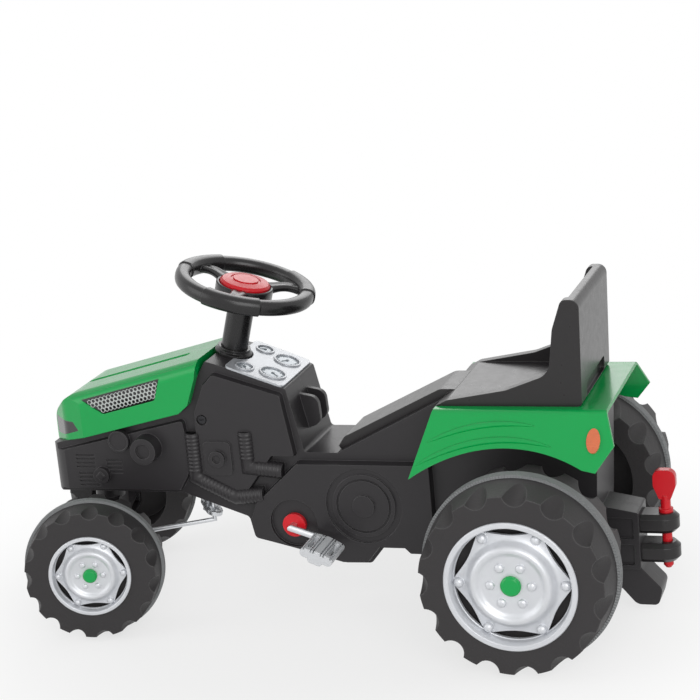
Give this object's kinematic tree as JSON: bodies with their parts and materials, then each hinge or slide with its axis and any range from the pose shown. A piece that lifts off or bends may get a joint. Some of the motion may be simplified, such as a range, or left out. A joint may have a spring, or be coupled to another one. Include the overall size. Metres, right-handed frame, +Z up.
{
  "type": "ride-on pedal tractor",
  "caption": "Child's ride-on pedal tractor with moulded body halves, bucket seat, steered front axle, chain drive to big rear wheels and a rear hitch with a lift-out pin.",
  "frame": {"origin": "centre of the bounding box on the ground", "axes": "+X forward, +Y to the driver's left, +Z up"},
  "size_m": [0.9881, 0.53, 0.5056],
  "materials": {
    "body_charcoal": "matt moulded, fine grain",
    "green_gloss": "glossy moulded",
    "grille_grey": "satin moulded",
    "lamp_dark": "glossy moulded",
    "panel_silver": "silver, glossy",
    "black_gloss": "glossy moulded",
    "wheel_black": "satin moulded, fine grain",
    "red_gloss": "glossy moulded",
    "reflector_orange": "clear-coated, ribbed inside",
    "tyre_grey": "matt blow-moulded",
    "tread_grey": "knurled, dull",
    "rim_silver": "silver, semi-gloss",
    "zinc_steel": "bright zinc plated",
    "sprocket_steel": "stamped steel",
    "pedal_grey": "light grey, satin",
    "bearing_white": "natural, self-lubricating"
  },
  "bodies": {
    "chassis": {"body_left": "body_charcoal", "body_right": "body_charcoal", "bonnet": "green_gloss", "grille_left": "grille_grey", "grille_right": "grille_grey", "headlamp_left": "lamp_dark", "headlamp_right": "lamp_dark", "instrument_panel": "panel_silver", "column_collar": "wheel_black", "fender_deck": "green_gloss", "reflector_left": "reflector_orange", "reflector_right": "reflector_orange", "seat": "black_gloss", "hitch_loop_upper": "black_gloss", "hitch_loop_lower": "black_gloss", "pivot_pin": "zinc_steel", "thrust_washer": "bearing_white", "axle_sleeve_left": "bearing_white", "axle_sleeve_right": "bearing_white", "crank_cap_left": "red_gloss", "crank_cap_right": "red_gloss", "drive_chain": "sprocket_steel", "case_screws": "zinc_steel"},
    "steering": {"steering_wheel": "wheel_black", "column_sleeve": "wheel_black", "steering_rod": "zinc_steel", "horn_spring": "zinc_steel"},
    "horn": {"horn_button": "red_gloss"},
    "front_axle": {"axle_carrier": "body_charcoal", "front_axle_rod": "zinc_steel"},
    "link": {"drag_link": "zinc_steel"},
    "front_wheel_left": {"front_tyre_left": "tyre_grey", "front_tread_band_left": "tread_grey", "front_rim_left": "rim_silver", "front_cap_left": "green_gloss"},
    "front_wheel_right": {"front_tyre_right": "tyre_grey", "front_tread_band_right": "tread_grey", "front_rim_right": "rim_silver", "front_cap_right": "green_gloss"},
    "rear_drive": {"rear_axle": "zinc_steel", "rear_sprocket": "sprocket_steel", "rear_tyre_left": "tyre_grey", "rear_tread_band_left": "tread_grey", "rear_rim_left": "rim_silver", "rear_cap_left": "green_gloss", "rear_tyre_right": "tyre_grey", "rear_tread_band_right": "tread_grey", "rear_rim_right": "rim_silver", "rear_cap_right": "green_gloss"},
    "crank": {"crankshaft": "zinc_steel", "crank_sprocket": "sprocket_steel"},
    "left_pedal": {"pedal_left": "pedal_grey"},
    "right_pedal": {"pedal_right": "pedal_grey"},
    "tow": {"tow_pin": "red_gloss"}
  },
  "joints": [
    {"name": "front_steer", "type": "hinge", "parent": "chassis", "child": "front_axle", "pos_m": [0.3542, 0, 0.14], "axis": [0, 0, 1], "range_deg": [-32.1, 3.9]},
    {"name": "steering_turn", "type": "hinge", "parent": "chassis", "child": "steering", "pos_m": [0.1332, 0, 0.3675], "axis": [-0.2756, 0, 0.9613], "range_deg": [-87.01, 11.01]},
    {"name": "link_swing", "type": "hinge", "parent": "front_axle", "child": "link", "pos_m": [0.31582, 0.05428, 0.116], "axis": [0, 0, 1], "range_deg": [-5.02, 37.74]},
    {"name": "horn_press", "type": "slide", "parent": "steering", "child": "horn", "axis": [0.2756, 0, -0.9613], "range_m": [0, 0.004], "stiffness_N_per_m": 900, "springref_m": -0.001, "deforming": ["horn_spring"]},
    {"name": "front_spin_left", "type": "hinge", "parent": "front_axle", "child": "front_wheel_left", "pos_m": [0.314, 0.16003, 0.1], "axis": [-0.2436, 0.9699, 0], "continuous": true},
    {"name": "front_spin_right", "type": "hinge", "parent": "front_axle", "child": "front_wheel_right", "pos_m": [0.3944, -0.16003, 0.1], "axis": [-0.2436, 0.9699, 0], "continuous": true},
    {"name": "rear_spin", "type": "hinge", "parent": "chassis", "child": "rear_drive", "pos_m": [-0.3178, 0, 0.132], "axis": [0, 1, 0], "continuous": true},
    {"name": "crank_turn", "type": "hinge", "parent": "chassis", "child": "crank", "pos_m": [0.0382, 0, 0.136], "axis": [0, 1, 0], "continuous": true},
    {"name": "pedal_turn_left", "type": "hinge", "parent": "crank", "child": "left_pedal", "pos_m": [-0.01696, 0.123, 0.11808], "axis": [0, 1, 0], "continuous": true},
    {"name": "pedal_turn_right", "type": "hinge", "parent": "crank", "child": "right_pedal", "pos_m": [0.09336, -0.123, 0.15392], "axis": [0, 1, 0], "continuous": true},
    {"name": "tow_pin_lift", "type": "slide", "parent": "chassis", "child": "tow", "axis": [0, 0, 1], "range_m": [0, 0.1]}
  ],
  "couplings": [
    {"joint": "steering_turn", "follows": "front_steer", "ratio": 2.695},
    {"joint": "link_swing", "follows": "front_steer", "ratio": -1.16},
    {"joint": "crank_turn", "follows": "rear_spin", "ratio": 0.66667}
  ]
}
